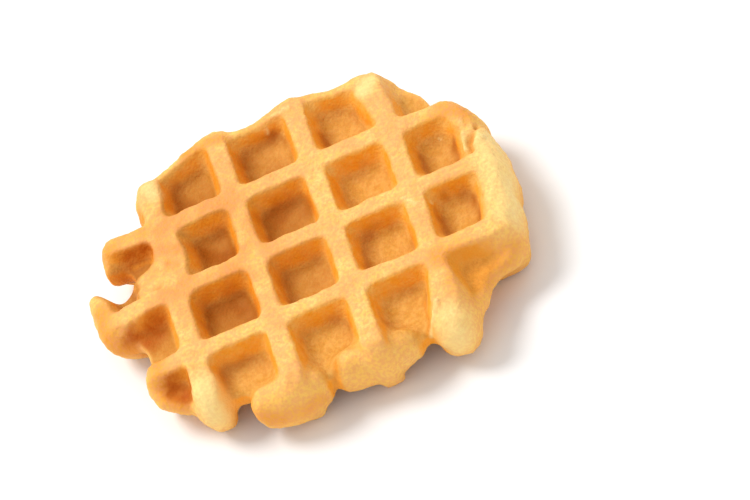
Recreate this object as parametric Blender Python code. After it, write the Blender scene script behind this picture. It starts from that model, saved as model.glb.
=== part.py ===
"""A waffle of thick yeast dough, baked between two irons and lying on its underside.

Both irons carry the same grid, so both faces have the same ridges and pockets. Inside the grid
the dough took the irons' form. Round the rim it swelled freely, so the rim is a set of rolls,
noses and gaps. The forms are laid down as overlapping closed shells, fused into one skin, and
softened as the dough did when it rose.
"""

import math

import bmesh
import bpy
from mathutils import Matrix, Vector

# The irons' grid and the dough in it, in metres.
PITCH = 0.023
THICKNESS = 0.0208
RIDGE_FOOT = 0.0106
RIDGE_TOP = 0.0054
ROLL_WIDTH = 0.0096
FLOOR = 0.0054

# The skin: how finely the forms are fused, how far it swells and crags, and how wide those are.
VOXEL = 0.0008
SWELL = 0.0009
SWELL_SIZE = 0.016
CRAG = 0.0004
CRAG_SIZE = 0.0045
SOFTENING = 0.5
SOFTENING_ROUNDS = 3
MOST_TRIANGLES = 10800

# A rolled end is closed by sections at these angles round a quarter circle, in degrees.
NOSE_ANGLES = (25, 50, 70, 84)
OUTLINE_STEPS = 6

# A golden crust, in linear light.
CRUST = (0.84, 0.42, 0.11, 1.0)
CRUST_ROUGHNESS = 0.6

# Half of a section, as parts of the half width and the half height, from the top to the middle.
PRESSED = ((RIDGE_TOP / RIDGE_FOOT, 1.0), (1.0, FLOOR / THICKNESS), (1.0, 0.06))
ROLLED = ((0.38, 1.0), (0.78, 0.74), (1.0, 0.20))

# Places are in pitches from one crossing near the middle: x runs across the ridges that lie
# towards the viewer, and y across the others. A station is x, y, width and height. The last two
# are times the usual width and the full thickness, and 1 where they are left out.
RIDGES = {
    "down_1": (
        (-1.95, 1.70, 1.1, 0.99),
        (-1.97, 1.20, 1.0),
        (-1.96, 0.86, 1.2),
        (-1.94, 0.72, 1.4),
        (-1.92, 0.54, 1.5),
        (-1.92, 0.36, 1.4),
        (-1.96, 0.14, 1.2),
        (-2.01, -0.30, 1.05),
        (-2.01, -0.95, 1.0),
        (-2.01, -1.25, 1.0),
        (-2.02, -1.49, 1.1, 0.94),
    ),
    "down_2": ((-1.02, 2.00), (-1.00, 0.00), (-1.00, -1.85)),
    "down_3": ((-0.01, 2.00), (0.00, 0.00), (0.00, -1.85)),
    "down_4": (
        (0.90, 1.84, 1.4, 0.99),
        (1.00, 1.20),
        (1.00, 0.00),
        (0.99, -1.30),
        (0.95, -1.70, 1.4, 0.96),
    ),
    "across_1": (
        (-2.58, 1.14, 0.9, 0.80),
        (-2.25, 1.03),
        (-2.00, 1.00),
        (1.00, 1.00),
        (1.66, 0.99, 1.0, 0.96),
    ),
    "across_2": ((-2.82, 0.04, 0.9, 0.76), (-2.45, 0.00), (1.00, 0.00), (1.95, 0.00, 1.0, 0.97)),
    "across_3": ((-2.53, -0.94, 0.9, 0.86), (-2.00, -1.00), (1.00, -1.00), (1.82, -0.99, 1.0, 0.95)),
}

ROLLS = {
    "far_rim": (
        (-1.98, 1.70, 0.9, 0.86),
        (-1.80, 1.81, 0.7, 0.80),
        (-1.50, 1.93, 0.7, 0.82),
        (-1.22, 2.02, 0.8, 0.90),
        (-1.02, 2.05, 0.9, 0.93),
        (-0.80, 1.95, 0.7, 0.87),
        (-0.50, 1.95, 0.7, 0.87),
        (-0.20, 2.02, 0.8, 0.90),
        (-0.03, 2.06, 0.9, 0.94),
        (0.15, 2.01, 0.7, 0.90),
        (0.45, 1.95, 0.7, 0.89),
        (0.70, 1.94, 0.8, 0.94),
        (0.84, 1.92, 1.1, 0.98),
    ),
    "right_rim_far": ((1.50, 1.01, 0.9, 0.94), (1.70, 0.95, 1.1, 0.95), (1.82, 0.74, 1.2, 0.93)),
    "right_rim": (
        (1.85, 0.48, 1.2, 0.93),
        (1.90, 0.15, 1.3, 0.95),
        (1.92, -0.20, 1.3, 0.95),
        (1.88, -0.46, 1.1, 0.92),
        (1.87, -0.65, 1.2, 0.92),
        (1.83, -0.85, 1.1, 0.92),
        (1.80, -1.02, 1.0, 0.88),
    ),
    "right_lip": (
        (1.80, -1.22, 0.5, 0.36),
        (1.56, -1.32, 0.4, 0.22),
        (1.40, -1.46, 0.4, 0.22),
        (1.30, -1.66, 0.4, 0.32),
    ),
    "near_nose": ((1.00, -1.55, 1.3, 0.92), (0.93, -1.85, 1.4, 0.86)),
    "near_roll_right": (
        (-0.44, -1.82, 0.9, 0.64),
        (-0.08, -1.81, 1.0, 0.68),
        (0.20, -1.84, 0.9, 0.60),
        (0.38, -1.82, 0.8, 0.48),
    ),
    "near_roll_left": (
        (-1.42, -1.84, 1.0, 0.66),
        (-1.22, -1.88, 1.1, 0.74),
        (-1.02, -1.88, 1.1, 0.76),
        (-0.84, -1.84, 1.0, 0.70),
    ),
    "left_lip_low": (
        (-2.61, -0.92, 0.6, 0.56),
        (-2.62, -1.12, 0.4, 0.34),
        (-2.44, -1.30, 0.3, 0.29),
        (-2.20, -1.44, 0.3, 0.29),
    ),
    "left_lip_middle": (
        (-2.97, 0.14, 0.6, 0.60),
        (-2.96, 0.04, 0.6, 0.44),
        (-2.76, -0.08, 0.5, 0.34),
        (-2.50, -0.24, 0.4, 0.30),
    ),
    "left_tab_middle": ((-2.99, 0.60, 0.5, 0.50), (-2.91, 0.34, 0.9, 0.76), (-2.86, 0.10, 0.8, 0.70)),
    "left_tab_far": ((-2.63, 1.12, 0.9, 0.76), (-2.70, 1.00, 0.5, 0.36)),
    "left_web": ((-2.38, 0.24, 0.9, 0.80), (-2.15, 0.28, 1.0, 0.84)),
    "left_web_far": ((-2.40, 0.48, 0.8, 0.66), (-2.17, 0.52, 0.9, 0.84)),
}

# The dough between the irons' studs reaches this line, from the far left corner clockwise.
FLOOR_EDGE = (
    (-2.05, 1.80), (-1.50, 1.94), (-1.05, 2.05), (-0.50, 1.96), (0.00, 2.05), (0.50, 1.96),
    (0.95, 1.92), (1.24, 1.84), (1.42, 1.64), (1.54, 1.38), (1.66, 1.08), (1.84, 0.60),
    (1.93, 0.00), (1.94, -0.50), (1.86, -1.15), (1.56, -1.35), (1.41, -1.48), (1.30, -1.70),
    (0.95, -1.85), (0.50, -1.88), (0.00, -1.86), (-0.58, -1.86), (-1.00, -1.90), (-1.38, -1.76),
    (-1.60, -1.62), (-2.05, -1.52), (-2.40, -1.33), (-2.62, -1.14), (-2.66, -0.95), (-2.60, -0.78),
    (-2.62, -0.34), (-2.78, -0.10), (-3.00, 0.04), (-2.98, 0.34), (-2.66, 0.48), (-2.51, 0.64),
    (-2.52, 0.86), (-2.74, 0.92), (-2.72, 1.08), (-2.52, 1.17), (-2.22, 1.20), (-2.11, 1.45),
)


def station_matrix(place, heading, half_width, half_height):
    """Carries a section of unit half width and half height to its place on the grid."""
    turn = Matrix.Rotation(heading, 4, "Z")
    size = Matrix.Diagonal((1.0, half_width, half_height, 1.0))
    return Matrix.Translation((place.x * PITCH, place.y * PITCH, 0.0)) @ turn @ size


def with_noses(stations, usual_width):
    """The stations as place, heading and half sizes, with more that round both ends off."""
    full = [tuple(station) + (1.0,) * (4 - len(station)) for station in stations]
    places = [Vector(station[:2]) for station in full]
    path = []
    for index, (_, _, width, height) in enumerate(full):
        before = places[max(index - 1, 0)]
        after = places[min(index + 1, len(places) - 1)]
        along = (after - before).normalized()
        heading = math.atan2(along.y, along.x)
        path.append((places[index], heading, width * usual_width / 2, height * THICKNESS / 2))
    for end, sign in ((0, -1.0), (-1, 1.0)):
        place, heading, width, height = path[end]
        forward = Vector((math.cos(heading), math.sin(heading))) * width / PITCH * sign
        nose = []
        for degrees in NOSE_ANGLES:
            angle = math.radians(degrees)
            shrink = math.cos(angle)
            nose.append((place + forward * math.sin(angle), heading, width * shrink, height * shrink))
        path = path + nose if sign > 0 else nose[::-1] + path
    return path


def sweep(mesh, stations, half_section, usual_width):
    """Adds one closed bar: a section face, extruded from station to station."""
    right = list(half_section) + [(across, -up) for across, up in half_section[::-1]]
    ring = right + [(-across, up) for across, up in right[::-1]]
    matrices = [station_matrix(*station) for station in with_noses(stations, usual_width)]
    corners = [mesh.verts.new(matrices[0] @ Vector((0.0, across, up))) for across, up in ring]
    face = mesh.faces.new(corners)
    made = {face}
    for last, this in zip(matrices, matrices[1:]):
        grown = bmesh.ops.extrude_face_region(mesh, geom=[face])["geom"]
        moved = [item for item in grown if isinstance(item, bmesh.types.BMVert)]
        bmesh.ops.transform(mesh, matrix=this @ last.inverted(), verts=moved)
        face = next(item for item in grown if isinstance(item, bmesh.types.BMFace))
        made.update(item for vert in moved for item in vert.link_faces)
    bmesh.ops.recalc_face_normals(mesh, faces=[item for item in made if item.is_valid])


def smooth_loop(points, steps):
    """A closed curve through the points, with each point's heading taken from its neighbours."""
    count = len(points)
    curve = []
    for index in range(count):
        before, start, end, after = (Vector(points[(index + offset) % count]) for offset in (-1, 0, 1, 2))
        leaving = (end - before) / 2
        arriving = (after - start) / 2
        for step in range(steps):
            t = step / steps
            bend = (2 * leaving + arriving) * t**2 - (leaving + arriving) * t**3
            curve.append(start + leaving * t - bend + (end - start) * (3 * t**2 - 2 * t**3))
    return curve


def floor_sheet(mesh):
    """Adds the thin sheet of dough that closes the pockets in the middle of the thickness."""
    loop = smooth_loop(FLOOR_EDGE, OUTLINE_STEPS)
    corners = [mesh.verts.new((point.x * PITCH, point.y * PITCH, -FLOOR / 2)) for point in loop]
    face = mesh.faces.new(corners)
    grown = bmesh.ops.extrude_face_region(mesh, geom=[face])["geom"]
    raised = [item for item in grown if isinstance(item, bmesh.types.BMVert)]
    bmesh.ops.translate(mesh, vec=(0.0, 0.0, FLOOR), verts=raised)
    walls = {item for vert in corners + raised for item in vert.link_faces}
    bmesh.ops.recalc_face_normals(mesh, faces=list(walls))


def crust_material():
    material = bpy.data.materials.new("golden_crust")
    material.use_nodes = True
    shader = material.node_tree.nodes["Principled BSDF"]
    shader.inputs["Base Color"].default_value = CRUST
    shader.inputs["Roughness"].default_value = CRUST_ROUGHNESS
    shader.inputs["Metallic"].default_value = 0.0
    return material


def add_swell(waffle, name, strength, size):
    """Moves the skin in and out by a soft noise, as dough never fills an iron evenly."""
    texture = bpy.data.textures.new(name, "CLOUDS")
    texture.noise_scale = size
    texture.noise_depth = 1
    modifier = waffle.modifiers.new(name, "DISPLACE")
    modifier.texture = texture
    modifier.texture_coords = "LOCAL"
    modifier.strength = strength
    modifier.mid_level = 0.5


def baked_mesh(waffle):
    graph = bpy.context.evaluated_depsgraph_get()
    return bpy.data.meshes.new_from_object(waffle.evaluated_get(graph))


def main():
    for obj in list(bpy.data.objects):
        bpy.data.objects.remove(obj, do_unlink=True)

    forms = bmesh.new()
    floor_sheet(forms)
    for stations in RIDGES.values():
        sweep(forms, stations, PRESSED, RIDGE_FOOT)
    for stations in ROLLS.values():
        sweep(forms, stations, ROLLED, ROLL_WIDTH)
    shells = bpy.data.meshes.new("waffle_forms")
    forms.to_mesh(shells)
    forms.free()
    waffle = bpy.data.objects.new("waffle", shells)
    bpy.context.scene.collection.objects.link(waffle)

    fuse = waffle.modifiers.new("fuse", "REMESH")
    fuse.mode = "VOXEL"
    fuse.voxel_size = VOXEL
    soften = waffle.modifiers.new("soften", "SMOOTH")
    soften.factor = SOFTENING
    soften.iterations = SOFTENING_ROUNDS
    add_swell(waffle, "swell", SWELL, SWELL_SIZE)
    add_swell(waffle, "crag", CRAG, CRAG_SIZE)
    full = baked_mesh(waffle)
    full.calc_loop_triangles()
    thin = waffle.modifiers.new("thin", "DECIMATE")
    thin.ratio = MOST_TRIANGLES / len(full.loop_triangles)
    thin.use_collapse_triangulate = True
    skin = baked_mesh(waffle)
    waffle.modifiers.clear()
    waffle.data = skin
    skin.name = "waffle"

    low = Vector([min(vert.co[axis] for vert in skin.vertices) for axis in range(3)])
    high = Vector([max(vert.co[axis] for vert in skin.vertices) for axis in range(3)])
    middle = (low + high) / 2
    skin.transform(Matrix.Translation((-middle.x, -middle.y, -low.z)))
    skin.shade_smooth()
    skin.materials.clear()
    skin.materials.append(crust_material())

    # The origin moved to the middle of the underside, so an empty marks the grid's zero crossing.
    crossing = bpy.data.objects.new("grid_crossing", None)
    crossing.location = (-middle.x, -middle.y, -low.z)
    bpy.context.scene.collection.objects.link(crossing)
    print("the grid's zero crossing lies at", tuple(round(value, 5) for value in crossing.location))
    print("size", tuple(round(value, 4) for value in high - low), "faces", len(skin.polygons))


main()
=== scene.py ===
# %% [markdown]
# # A waffle, baked in code
#
# The waffle is one piece of thick yeast dough. Two irons pressed the same grid of pockets into
# both its faces, and round the grid the dough swelled out freely into rolls and noses.
#
# The part's solid already has those forms at their real size. This script dresses it: it makes
# a finer skin, adds the small folds and the crumb, and then paints the crust.

# %% Load the solid as a fixed frame
import math

import bmesh
import bpy
import numpy as np
from mathutils import Matrix, Vector
from mathutils.bvhtree import BVHTree
from mathutils.kdtree import KDTree


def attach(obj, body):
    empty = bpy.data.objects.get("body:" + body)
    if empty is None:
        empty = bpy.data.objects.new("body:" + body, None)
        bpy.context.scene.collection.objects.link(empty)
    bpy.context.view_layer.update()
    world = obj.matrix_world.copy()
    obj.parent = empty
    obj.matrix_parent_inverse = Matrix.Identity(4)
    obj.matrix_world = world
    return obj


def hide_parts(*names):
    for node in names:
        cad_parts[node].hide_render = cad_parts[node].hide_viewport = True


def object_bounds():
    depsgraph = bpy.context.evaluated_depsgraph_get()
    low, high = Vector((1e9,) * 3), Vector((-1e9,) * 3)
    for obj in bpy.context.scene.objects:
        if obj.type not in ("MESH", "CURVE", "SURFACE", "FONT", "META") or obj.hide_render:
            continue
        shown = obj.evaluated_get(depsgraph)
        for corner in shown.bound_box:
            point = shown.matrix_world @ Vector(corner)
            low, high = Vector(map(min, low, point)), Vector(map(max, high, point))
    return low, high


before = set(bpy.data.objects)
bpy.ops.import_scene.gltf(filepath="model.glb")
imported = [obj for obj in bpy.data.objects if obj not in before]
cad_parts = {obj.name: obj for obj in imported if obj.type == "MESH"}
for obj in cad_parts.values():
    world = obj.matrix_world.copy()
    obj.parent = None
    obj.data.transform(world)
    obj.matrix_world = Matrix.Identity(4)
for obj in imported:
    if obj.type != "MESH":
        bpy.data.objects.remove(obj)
CAD_LOW, CAD_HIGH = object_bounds()
SOLID = "waffle"
print("the solid's box:", tuple(CAD_LOW), tuple(CAD_HIGH))

# %% [markdown]
# ## Small helpers
#
# Colours are written as sRGB hex values, as a picture program shows them. Blender's shaders
# work in linear light, so one function turns the first into the second. Sizes are in
# millimetres in the text and in metres in the scene.

# %% Helpers
MM = 0.001


def linear(hex_colour):
    """An sRGB hex value as linear red, green, blue and alpha."""
    channels = [int(hex_colour[start : start + 2], 16) / 255 for start in (1, 3, 5)]
    bent = [c / 12.92 if c <= 0.04045 else ((c + 0.055) / 1.055) ** 2.4 for c in channels]
    return (*bent, 1.0)


def add_node(tree, kind, inputs=(), **settings):
    """Adds a node. Each input is given a plain value, or another node's output to be linked from."""
    node = tree.nodes.new(kind)
    for name, value in settings.items():
        setattr(node, name, value)
    for name, value in dict(inputs).items():
        if isinstance(value, bpy.types.NodeSocket):
            tree.links.new(value, node.inputs[name])
        else:
            node.inputs[name].default_value = value
    return node


print("a middle grey is", round(linear("#808080")[0], 3), "in linear light")

# %% [markdown]
# ## The camera
#
# The grid itself says where the camera stood. One pitch of the grid, 23 mm, goes 78 pixels
# right and 34 up along X, 21 left and 61 up along Y, and one pitch of height goes 28 left and
# 50 up. The three parts of those steps that go right, brought to a length of one, are the
# camera's right axis, and the three that go up are its up axis. The picture shows almost no
# vanishing lines, so a long lens stands well back. The part's source says where one crossing of
# the ridges lies, and that point ties the picture and the solid together.

# %% Camera
PITCH = 23 * MM
THICKNESS = 20.8 * MM
CROSSING = Vector((10.64 * MM, -1.06 * MM, 10.75 * MM + THICKNESS / 2))
FRAME_WIDTH, FRAME_HEIGHT = 750, 500
CROSSING_PIXEL = (331.5, 222.0)
PIXELS_A_PITCH = 85.8
STEP_X, STEP_Y, STEP_Z = (78.4, 34.0), (-21.0, 61.0), (-27.7, 49.9)
LENS_MM = 300
SENSOR_MM = 36

right = Vector((STEP_X[0], STEP_Y[0], STEP_Z[0])).normalized()
up = Vector((STEP_X[1], STEP_Y[1], STEP_Z[1]))
up = (up - right * up.dot(right)).normalized()
back = right.cross(up)
metre_pixels = PIXELS_A_PITCH / PITCH


def plane_point(pixel_x, pixel_y):
    """The point at the crossing's distance from the camera that this pixel of the photo shows."""
    sideways = (pixel_x - CROSSING_PIXEL[0]) / metre_pixels
    upwards = (CROSSING_PIXEL[1] - pixel_y) / metre_pixels
    return CROSSING + right * sideways + up * upwards


distance = FRAME_WIDTH * LENS_MM / SENSOR_MM / metre_pixels
camera_data = bpy.data.cameras.new("long_lens")
camera_data.lens = LENS_MM
camera_data.sensor_width = SENSOR_MM
camera = bpy.data.objects.new("camera", camera_data)
bpy.context.scene.collection.objects.link(camera)
turn = Matrix((right, up, back)).transposed().to_4x4()
camera_place = plane_point(FRAME_WIDTH / 2, FRAME_HEIGHT / 2) + back * distance
camera.matrix_world = Matrix.Translation(camera_place) @ turn
bpy.context.scene.camera = camera
print("the camera stands", round(distance, 2), "m away from the crossing")

# %% [markdown]
# ## A finer skin
#
# The solid is made of flat triangles about 3 mm wide, which is fine for weighing and
# colliding and too coarse to look at. A copy of it is merged into one skin and rebuilt from
# small cells. A few rounds of smoothing then wipe out the triangles' edges, as dough has none.

# %% The skin
CELL = 0.66 * MM
MERGE = 0.001 * MM
SMOOTHING = 0.5
SMOOTHING_ROUNDS = 3


def evaluated_mesh(obj):
    """The object's mesh with its modifiers worked in."""
    graph = bpy.context.evaluated_depsgraph_get()
    return bpy.data.meshes.new_from_object(obj.evaluated_get(graph))


merged = bmesh.new()
merged.from_mesh(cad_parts[SOLID].data)
bmesh.ops.remove_doubles(merged, verts=merged.verts, dist=MERGE)
skin = bpy.data.meshes.new("waffle_crust")
merged.to_mesh(skin)
merged.free()
skin.materials.clear()
crust = bpy.data.objects.new("waffle_crust", skin)
bpy.context.scene.collection.objects.link(crust)

rebuild = crust.modifiers.new("rebuild", "REMESH")
rebuild.mode = "VOXEL"
rebuild.voxel_size = CELL
relax = crust.modifiers.new("relax", "SMOOTH")
relax.factor = SMOOTHING
relax.iterations = SMOOTHING_ROUNDS
fine = evaluated_mesh(crust)
crust.modifiers.clear()
crust.data = fine
print("the skin has", len(fine.polygons), "faces of", CELL / MM, "mm")

# %% [markdown]
# ## Folds, flakes and grooves
#
# Where two lobes of dough met they left a groove, and where dough was dragged it left a thin
# flake. They could be carved by hand with a sculpting brush. Here each one is a short path, and
# the brush is a rule: a point near the path moves along its own normal, most on the path and
# not at all at the brush's edge. A path is found on the skin by looking through the camera at
# the place in the photo.

# %% The brush
positions = np.array([vert.co for vert in fine.vertices])
normals = np.array([vert.normal for vert in fine.vertices])
skin_tree = BVHTree.FromObject(crust, bpy.context.evaluated_depsgraph_get())


def seen_at(pixel_x, pixel_y):
    """The point of the skin that the camera sees at this pixel of the photo."""
    aim = plane_point(pixel_x, pixel_y) - camera_place
    return skin_tree.ray_cast(camera_place, aim.normalized())[0]


def path_weights(pixels, radius):
    """How near each point of the skin is to the path, from 1 on it to 0 at the radius."""
    corners = [point for point in (seen_at(*pixel) for pixel in pixels) if point is not None]
    nearest = np.full(len(positions), np.inf)
    for start, end in zip(corners, corners[1:]):
        along = np.array(end - start)
        share = np.clip((positions - np.array(start)) @ along / (along @ along), 0, 1)
        gap = np.linalg.norm(positions - np.array(start) - share[:, None] * along, axis=1)
        nearest = np.minimum(nearest, gap)
    return np.clip(1 - (nearest / radius) ** 2, 0, 1) ** 2


print("the brush works on", len(positions), "points")

# %% Carve the grooves and raise the flakes
# Each is a path in the photo's pixels, then the brush's radius and its height in millimetres.
GROOVES = {
    "between_right_lobes": (((477, 126), (472, 134), (470, 142), (471, 150)), 1.5, -1.1),
    "between_near_lumps": (((333, 362), (335, 374), (336, 390)), 1.6, -0.9),
    "beside_near_nose": (((426, 303), (429, 320), (428, 336)), 1.2, -0.8),
    "across_left_web": (((134, 268), (150, 262), (168, 263)), 1.0, -0.35),
    "dent_in_far_rim": (((261, 118), (265, 128)), 1.3, -0.7),
}
FLAKES = {
    "tongue_of_far_lobe": (((460, 120), (463, 134), (466, 150)), 1.0, 0.5),
    "edge_of_right_lobe": (((473, 143), (482, 136), (494, 137)), 1.5, 0.6),
    "curl_by_crossing": (((404, 198), (416, 204), (431, 203)), 0.9, 0.8),
    "ragged_nose_edge": (((437, 300), (434, 318), (431, 336)), 1.1, 0.5),
    "crumb_on_far_wall": (((440, 138), (442, 139)), 0.7, 0.4),
    "bead_in_the_dent": (((266, 129), (268, 133)), 0.8, 0.5),
    "ragged_far_rim": (((246, 122), (253, 119), (258, 122)), 0.9, 0.4),
    "lip_of_far_rim": (((272, 116), (281, 112), (288, 107)), 1.0, 0.4),
}


def carve(folds):
    """Moves the points along each path, and gives the greatest weight that each point got."""
    greatest = np.zeros(len(positions))
    for pixels, radius, height in folds.values():
        weights = path_weights(pixels, radius * MM)
        positions[:] += normals * weights[:, None] * height * MM
        greatest = np.maximum(greatest, weights)
    return greatest


groove_share = carve(GROOVES)
flake_share = carve(FLAKES)
fine.vertices.foreach_set("co", positions.astype(np.float32).ravel())
fine.update()
print("grooves and flakes moved", int(((groove_share + flake_share) > 0).sum()), "points")

# %% [markdown]
# ## Pale, brown and toasted places
#
# The dough that bulged out highest met the least heat and stayed the colour of cream, and at the
# two far corners the pale marks are painted highlight where the rim faces the light. The left
# edge lay nearer the heat, so its noses are toasted and its hollows are the brownest of all.
# They could be painted on by hand. Here they are paths for the same brush, which this time
# moves nothing and only notes how near to a path each point lies.

# %% Mark the pale, brown and toasted places
# Each is a path in the photo's pixels, then the brush's radius in millimetres.
PALE = {
    "right_rim": (((490, 140), (503, 163), (510, 190), (514, 212)), 9.5),
    "right_rim_far": (((460, 105), (476, 112), (488, 126)), 5.5),
    "near_nose": (((450, 320), (456, 342), (468, 356)), 9.0),
    "left_nose": (((204, 390), (212, 406), (218, 420)), 8.0),
    # painted highlight: these two corners are pale for the light that falls on them
    "far_corner": (((364, 90), (368, 80)), 4.5),
    "far_left_corner": (((147, 188), (152, 194)), 4.5),
}
BROWN = {
    "left_tab_hollow": (((130, 258), (138, 252), (148, 246)), 6.0),
    "left_nose_hollow": (((120, 324), (130, 338), (146, 342), (158, 322)), 6.5),
    "left_low_hollow": (((164, 372), (172, 388), (186, 398), (192, 378)), 7.5),
}
TOASTED = {
    "right_low_hollow": (((448, 256), (462, 256), (474, 264), (464, 284)), 9.0),
    "left_tab": (((104, 262), (108, 248), (124, 238), (142, 230)), 5.0),
    "left_nose": (((98, 316), (106, 334), (120, 352)), 6.0),
    "left_low_nose": (((154, 368), (160, 388), (178, 406)), 6.0),
    "left_lump": (((258, 416), (276, 420), (304, 414), (322, 402)), 5.5),
    "right_low_rim": (((476, 286), (494, 268), (514, 248)), 6.0),
    "far_right_rim": (((432, 118), (446, 108), (462, 114)), 5.0),
    "far_left_rim": (((172, 164), (186, 152), (202, 144), (218, 138)), 4.5),
}


def coloured_places(places):
    """The greatest weight that any of these paths gives each point."""
    return np.max([path_weights(pixels, radius * MM) for pixels, radius in places.values()], axis=0)


pale_share = coloured_places(PALE)
brown_share = coloured_places(BROWN)
toasted_share = coloured_places(TOASTED)
for name, marked in (("pale", pale_share), ("brown", brown_share), ("toasted", toasted_share)):
    print(name, "on", int((marked > 0).sum()), "points")

# %% [markdown]
# ## Crumb
#
# A baked crust is never smooth: blisters a few millimetres wide swell under it, and the crumb
# itself is a millimetre or so wide. Both could be faked by the shader alone. They are moved into
# the mesh instead, so they catch light from every side, and the pockets' edges turn uneven.
# Anything finer is left to the shader's bump.

# %% Blisters and crumb
BLISTER_WIDTH, BLISTER_HEIGHT = 4.5 * MM, 0.6 * MM
CRUMB_WIDTH, CRUMB_HEIGHT = 1.5 * MM, 0.4 * MM


def add_relief(name, width, height):
    """Moves the skin in and out by a noise with bumps of this width."""
    texture = bpy.data.textures.new(name, "CLOUDS")
    texture.noise_scale = width
    modifier = crust.modifiers.new(name, "DISPLACE")
    modifier.texture = texture
    modifier.texture_coords = "LOCAL"
    modifier.strength = height
    modifier.mid_level = 0.5


add_relief("blisters", BLISTER_WIDTH, BLISTER_HEIGHT)
add_relief("crumb", CRUMB_WIDTH, CRUMB_HEIGHT)
rough = evaluated_mesh(crust)
crust.modifiers.clear()
crust.data = rough
rough.name = "waffle_crust"

low, high = np.array(CAD_LOW), np.array(CAD_HIGH)
positions = np.array([vert.co for vert in rough.vertices])
kept = np.clip(positions, low, high)
rough.vertices.foreach_set("co", kept.astype(np.float32).ravel())
rough.update()
rough.shade_smooth()
print("the solid's box holds back", int((kept != positions).any(1).sum()), "points of the crumb")

# %% [markdown]
# ## What the oven did, as attributes
#
# The crust's colour follows how the heat reached it. The ridges' tops and the pockets touched
# hot iron. The free rim only met hot air and stayed pale. One could paint this by hand on a
# texture, but a rule covers both faces at once. So each point of the skin gets a few numbers
# between 0 and 1, kept as attributes that the material reads. A few of them also mark painted
# shade and painted highlight: the pockets' corners and walls, the grooves, the flakes and two
# pale corners of the rim.
#
# To find the rim, each point halfway up looks out level along its own normal, and as far again
# to both sides of it. In a pocket it meets a wall. On the rim it meets nothing, three times.
# Points near such a free point are rim too.
#
# To find the pockets, each point looks out in a fan of directions round its normal. The share
# of them that meets other crust says how sheltered it is: almost none on a ridge's top, more and
# more down a pocket's wall, and most in a pocket's corner. The deepest corners are darkened
# with painted shade.

# %% Find the free rim
# A rim point's normal is level enough, and it lies in the belt round half the height.
# Each look starts a little off the skin, so it doesn't meet its own point.
RIM_REACH = 7.5 * MM
LOOK_OUT = 40 * MM
LIFT = 0.2 * MM
LEVEL_ENOUGH = 0.55
BELT = 0.55
LOOKS = [Matrix.Rotation(math.radians(degrees), 3, "Z") for degrees in (-40, 0, 40)]

positions = kept
normals = np.array([vert.normal for vert in rough.vertices])
middle = (low[2] + high[2]) / 2
from_middle = np.abs(positions[:, 2] - middle) / (THICKNESS / 2)

tree = BVHTree.FromObject(crust, bpy.context.evaluated_depsgraph_get())
flat_normals = normals * (1, 1, 0)
levels = np.linalg.norm(flat_normals, axis=1)
free = []
for index in np.flatnonzero((levels > LEVEL_ENOUGH) & (from_middle < BELT)):
    outward = Vector(flat_normals[index] / levels[index])
    start = Vector(positions[index]) + outward * LIFT
    if all(tree.ray_cast(start, look @ outward, LOOK_OUT)[0] is None for look in LOOKS):
        free.append(index)
rim_tree = KDTree(len(free))
for index in free:
    rim_tree.insert(positions[index], int(index))
rim_tree.balance()
rim_gaps = np.array([rim_tree.find(position)[2] for position in positions])
print(len(free), "points look out freely, of", len(positions))

# %% Find the sheltered places
# The fan is a spiral of directions. Which way it starts doesn't matter, so any will do.
FAN = 18
FAN_REACH = 16 * MM
EVENING_ROUNDS = 8
ANY_WAY = (0.31, 0.85, 0.42)

turns = np.arange(FAN) * math.pi * (3 - math.sqrt(5))
across = np.sqrt((np.arange(FAN) + 0.5) / FAN)
fan = np.stack([np.cos(turns) * across, np.sin(turns) * across, np.sqrt(1 - across**2)], axis=1)
sideways = np.cross(normals, ANY_WAY)
sideways /= np.linalg.norm(sideways, axis=1)[:, None]
others = np.cross(normals, sideways)
sheltered = np.zeros(len(positions))
starts = [Vector(start) for start in positions + normals * LIFT]
for side, other, out in fan:
    aims = sideways * side + others * other + normals * out
    met = [tree.ray_cast(start, aim, FAN_REACH)[0] is not None for start, aim in zip(starts, aims)]
    sheltered += np.array(met) / FAN

ends = np.array([edge.vertices[:] for edge in rough.edges])
neighbours = np.bincount(ends.ravel(), minlength=len(positions))


def neighbour_sum(values):
    """The sum of its neighbours' values, for each point."""
    one_way = np.bincount(ends[:, 0], values[ends[:, 1]], len(values))
    return one_way + np.bincount(ends[:, 1], values[ends[:, 0]], len(values))


for _ in range(EVENING_ROUNDS):
    sheltered = (sheltered + neighbour_sum(sheltered)) / (neighbours + 1)
print("a mean point has", round(float(sheltered.mean()), 2), "of its outlook blocked")

# %% [markdown]
# The studs of an iron have rounded edges, so a pocket's walls run into its floor in a hollow
# curve. A fillet could be modelled at each foot. Here the points deep in the pockets are
# evened out over their neighbours, the more the deeper they lie, and the corners fill up.

# %% Round the pockets' feet
FOOT_LOW, FOOT_HIGH = 0.22, 0.55
FOOT_ROUNDS = 30

foot_share = np.clip((sheltered - FOOT_LOW) / (FOOT_HIGH - FOOT_LOW), 0, 1)
for _ in range(FOOT_ROUNDS):
    for axis in range(3):
        evened = neighbour_sum(positions[:, axis]) / neighbours
        positions[:, axis] += foot_share * (evened - positions[:, axis])
rough.vertices.foreach_set("co", positions.astype(np.float32).ravel())
rough.update()
normals = np.array([vert.normal for vert in rough.vertices])
print("rounded", int((foot_share > 0).sum()), "points at the pockets' feet")

# %% [markdown]
# In a pocket, the iron pressed the floor flat and browned it. The walls are painted a deeper
# orange, partly browned crust and partly painted shade of their steep, sheltered faces.
# The left side browned more than the right. These places could be masks drawn from above. Here
# they follow from what is known of each point: how sheltered it is, which way it faces, and how
# far it lies from the hottest place.

# %% Walls, floors and the hottest place
def rise(values, start, end):
    """How far each value has come from start to end, from 0 to 1 with soft ends."""
    share = np.clip((values - start) / (end - start), 0, 1)
    return share * share * (3 - 2 * share)


stored = []


def store(name, values):
    """Keeps one number for each point of the crust, for the material to read."""
    stored.append(name)
    attribute = rough.attributes.new(name, "FLOAT", "POINT")
    attribute.data.foreach_set("value", np.asarray(values, np.float32))


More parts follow.
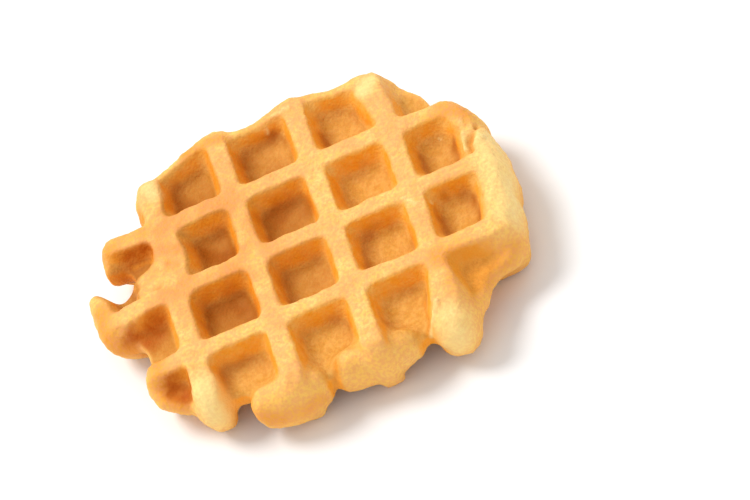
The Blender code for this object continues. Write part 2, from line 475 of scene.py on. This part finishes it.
# Each pair of values says where a share starts to rise and where it is whole.
HOTTEST = CROSSING.xy + Vector((-1.5, 0.45)) * PITCH
HOT_WITHIN, WARM_WITHIN = 0.75 * PITCH, 2.0 * PITCH
TOP_HOT_WITHIN, TOP_WARM_WITHIN = 0.3 * PITCH, 1.4 * PITCH
POCKET_SHELTER = (0.04, 0.17)
FOOT_SHELTER = (0.3, 0.65)
HOLLOW_SHELTER = (0.0, 0.16)
LEVEL_FACING = (0.4, 1.0)
DEEP = (0.3, 0.7)
DEPTH_ADDS = 0.25
PALE_KEEPS = 0.65

facing = np.abs(normals[:, 2]) + DEPTH_ADDS * rise(1 - from_middle, *DEEP)
level = rise(facing, *LEVEL_FACING)
pocket = rise(sheltered, *POCKET_SHELTER)
free_rim = rise(RIM_REACH - rim_gaps, 0, RIM_REACH) * (1 - pocket)
from_hottest = np.linalg.norm(positions[:, :2] - HOTTEST, axis=1)
hot = 1 - rise(from_hottest, HOT_WITHIN, WARM_WITHIN)

# the walls' share carries browned crust and painted shade
store("pocket_wall_and_shade", pocket * (1 - level))
store("pocket_floor", pocket * level)
store("hot_wall", hot * pocket * (1 - level))
store("hot_floor", hot * pocket * level)
# painted shade: the pockets' deepest corners, by how sheltered they are
store("pocket_foot_shade", rise(sheltered, *FOOT_SHELTER))
store("free_rim", free_rim)
store("hot_top", (1 - rise(from_hottest, TOP_HOT_WITHIN, TOP_WARM_WITHIN)) * (1 - pocket))
# painted shade in the grooves
store("groove", groove_share)
# painted highlight on the raised flakes
store("flake", flake_share)
# cream dough, with painted highlight at the far corners
store("pale_dough_and_highlight", pale_share)
store("brown_hollow", brown_share * rise(sheltered, *HOLLOW_SHELTER))
store("toasted_rim", toasted_share)
store("speckled", (1 - pocket) * (1 - PALE_KEEPS * pale_share))
pocket_mean, rim_mean = (round(float(share.mean()), 2) for share in (pocket, free_rim))
print("a mean point is", pocket_mean, "pocket and", rim_mean, "rim")

# %% [markdown]
# ## The crust's material
#
# The crust is a baked yeast dough with butter and sugar: its sugars browned where it touched
# the iron. That gives a golden yellow ground, rosy brown patches on the ridges, an orange brown
# in the pockets and a pale cream on the rim. It is soft and slightly see-through, so a little
# light travels under the surface, and the butter leaves a faint, broad gloss.
#
# Several noises would do for the patches alone. The attributes put each colour where the heat
# put it, and where shade and highlight are painted, and the noises only break the borders up.

# %% What the material reads
# Each noise has its blotches' width in millimetres and its detail.
NOISES = {"patches": (10.0, 2.0), "mottle": (2.6, 3.0), "specks": (1.0, 2.0)}

dough = bpy.data.materials.new("baked_yeast_dough")
dough.use_nodes = True
inside = dough.node_tree
shader = inside.nodes["Principled BSDF"]
where = add_node(inside, "ShaderNodeTexCoord").outputs["Object"]
read = {
    name: add_node(inside, "ShaderNodeAttribute", attribute_name=name).outputs["Fac"]
    for name in stored
}
blotches = {}
for name, (width, detail) in NOISES.items():
    size = {"Vector": where, "Scale": 1 / (width * MM), "Detail": detail}
    blotches[name] = add_node(inside, "ShaderNodeTexNoise", size).outputs["Fac"]
    print(name, "are", width, "mm wide")

# %% [markdown]
# ### The colours, laid one over another
#
# Each layer is a colour, the attribute that says where it lies, the noise that breaks it up,
# and how strongly it lies where that noise is low and where it is high. The layers could be
# mixed in one long row of hand-placed nodes. A loop over a table adds the same few nodes for
# each, and the table can be read like a recipe.

# %% Baked yeast dough
GOLD = "#FAC364"
LAYERS = (
    ("#FDD27E", None, "mottle", 0.0, 0.65),  # buttery mottle all over
    ("#EE9C5C", None, "patches", 0.0, 0.5),  # rosy brown patches all over
    ("#E68C3A", "hot_top", "patches", 0.3, 0.75),  # browner ridges in the hottest place
    ("#FBC35A", "free_rim", "patches", 0.45, 0.8),  # plain gold on the free rim
    # partly browned crust, partly painted shade: the walls' deeper orange
    ("#F8A024", "pocket_wall_and_shade", "mottle", 0.95, 0.75),  # orange walls
    ("#DA9C40", "pocket_floor", "patches", 0.95, 0.85),  # duller floors
    ("#F6BC68", "pocket_floor", "mottle", 0.0, 0.35),  # their lighter mottle
    # painted shade: the deepest corners darkened to brown
    ("#A4540E", "pocket_foot_shade", "patches", 0.1, 0.85),  # brown in the deepest corners
    ("#E28016", "hot_wall", "patches", 0.25, 0.6),  # deeper orange in the hottest pockets
    ("#A0560C", "hot_floor", "patches", 0.65, 0.95),  # and brown on their floors
    ("#EA9A34", "toasted_rim", "patches", 0.6, 0.9),  # toasted noses and edges
    ("#B65606", "brown_hollow", "mottle", 0.95, 0.75),  # the brownest hollows, at the left
    # partly cream dough, partly painted highlight at the far corners
    ("#FFE094", "pale_dough_and_highlight", "patches", 0.9, 0.7),  # cream where dough bulged out
    # painted shade: the grooves darkened
    ("#E29030", "groove", "mottle", 0.8, 0.7),  # darker grooves
    # painted highlight: the raised flakes lightened
    ("#FBDB90", "flake", "mottle", 0.7, 0.7),  # lighter flakes
    ("#EC9A66", "speckled", "specks", 0.0, 0.5),  # rosy specks on ridges and rim
    ("#B8681C", "pocket_floor", "specks", 0.0, 0.25),  # brown specks on the floors
)
NOISE_LOW, NOISE_HIGH = 0.36, 0.64

# On a Mix node for colours, inputs 6 and 7 are the two colours and output 2 is their mix.
colour = linear(GOLD)
for hex_colour, attribute, noise, at_low, at_high in LAYERS:
    limits = {"From Min": NOISE_LOW, "From Max": NOISE_HIGH, "To Min": at_low, "To Max": at_high}
    limits["Value"] = blotches[noise]
    softened = add_node(inside, "ShaderNodeMapRange", limits, interpolation_type="SMOOTHSTEP")
    share = softened.outputs["Result"]
    if attribute:
        both = {0: share, 1: read[attribute]}
        share = add_node(inside, "ShaderNodeMath", both, operation="MULTIPLY").outputs["Value"]
    mix = {"Factor": share, 6: colour, 7: linear(hex_colour)}
    colour = add_node(inside, "ShaderNodeMix", mix, data_type="RGBA").outputs[2]
inside.links.new(colour, shader.inputs["Base Color"])
print("the crust's colour takes", len(inside.nodes), "nodes")

# %% [markdown]
# ### Gloss, softness and grain
#
# Dough has an index of refraction of about 1.45 where butter wets it. Its crumb breaks the gloss
# up, so the roughness is high and the share of gloss low. Light goes in about a millimetre, red
# the farthest, which is why shaded pockets glow orange and never go grey. The finest grain of a
# real crust is about 0.3 mm, as small as one pixel of the picture, so it is drawn 0.8 mm wide.

# %% Gloss, softness and grain
CRUST_IOR = 1.45
GLOSS_SHARE = 0.12
GLOSS_LOW, GLOSS_HIGH = 0.50, 0.70
SEE_THROUGH = 0.06
LIGHT_TRAVEL_MM = 1.6
RED_GREEN_BLUE_TRAVEL = (1.0, 0.5, 0.22)
GRAIN_MM, GRAIN_HEIGHT_MM = 0.8, 0.3

shader.inputs["IOR"].default_value = CRUST_IOR
shader.inputs["Specular IOR Level"].default_value = GLOSS_SHARE
shader.inputs["Metallic"].default_value = 0.0
shader.inputs["Subsurface Weight"].default_value = SEE_THROUGH
shader.inputs["Subsurface Radius"].default_value = RED_GREEN_BLUE_TRAVEL
shader.inputs["Subsurface Scale"].default_value = LIGHT_TRAVEL_MM * MM
limits = {"From Min": NOISE_LOW, "From Max": NOISE_HIGH, "To Min": GLOSS_LOW, "To Max": GLOSS_HIGH}
limits["Value"] = blotches["mottle"]
roughness = add_node(inside, "ShaderNodeMapRange", limits)
inside.links.new(roughness.outputs["Result"], shader.inputs["Roughness"])
size = {"Vector": where, "Scale": 1 / (GRAIN_MM * MM), "Detail": 3.0}
grain = add_node(inside, "ShaderNodeTexNoise", size)
raised = {"Height": grain.outputs["Fac"], "Strength": 1.0, "Distance": GRAIN_HEIGHT_MM * MM}
bump = add_node(inside, "ShaderNodeBump", raised)
inside.links.new(bump.outputs["Normal"], shader.inputs["Normal"])
crust.data.materials.append(dough)

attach(crust, "root")
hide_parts(SOLID)
print("the crust's material has", len(inside.nodes), "nodes")

# %% [markdown]
# ## Floor and light
#
# The waffle lies on a plain white table. Its matt paint takes a soft shadow and gives hardly any
# reflection, so one flat face will do. A curved backdrop would work too, but isn't in the picture.
# One large soft light stands up and to the left, a little behind, so the pockets' left and far
# walls fall into shade and their floors catch it. A white surrounding fills the shade, as a
# bright studio does.

# %% Floor
FLOOR_WIDTH = 6.0
FLOOR_WHITE = "#F4F4F4"
MATT = 0.9

flat = bmesh.new()
bmesh.ops.create_grid(flat, x_segments=1, y_segments=1, size=FLOOR_WIDTH / 2)
floor_mesh = bpy.data.meshes.new("table")
flat.to_mesh(floor_mesh)
flat.free()
floor = bpy.data.objects.new("table", floor_mesh)
bpy.context.scene.collection.objects.link(floor)
table_paint = bpy.data.materials.new("matt_white_table")
table_paint.use_nodes = True
table_shader = table_paint.node_tree.nodes["Principled BSDF"]
table_shader.inputs["Base Color"].default_value = linear(FLOOR_WHITE)
table_shader.inputs["Roughness"].default_value = MATT
floor_mesh.materials.append(table_paint)
print("the table is", FLOOR_WIDTH, "m wide")

# %% Light
KEY_FROM = Vector((-0.45, 0.35, 0.82)).normalized()
KEY_POWER = 2.1
KEY_SPREAD = math.radians(28)
SURROUND = 0.78

key_data = bpy.data.lights.new("key", "SUN")
key_data.energy = KEY_POWER
key_data.angle = KEY_SPREAD
key = bpy.data.objects.new("key", key_data)
key.rotation_mode = "QUATERNION"
key.rotation_quaternion = KEY_FROM.to_track_quat("Z", "Y")
bpy.context.scene.collection.objects.link(key)

world = bpy.data.worlds.new("white_studio")
world.use_nodes = True
world.node_tree.nodes["Background"].inputs["Color"].default_value = (1.0, 1.0, 1.0, 1.0)
world.node_tree.nodes["Background"].inputs["Strength"].default_value = SURROUND
bpy.context.scene.world = world
bpy.context.scene.view_settings.view_transform = "Standard"
print("the key light stands", round(math.degrees(math.asin(KEY_FROM.z))), "degrees above the table")
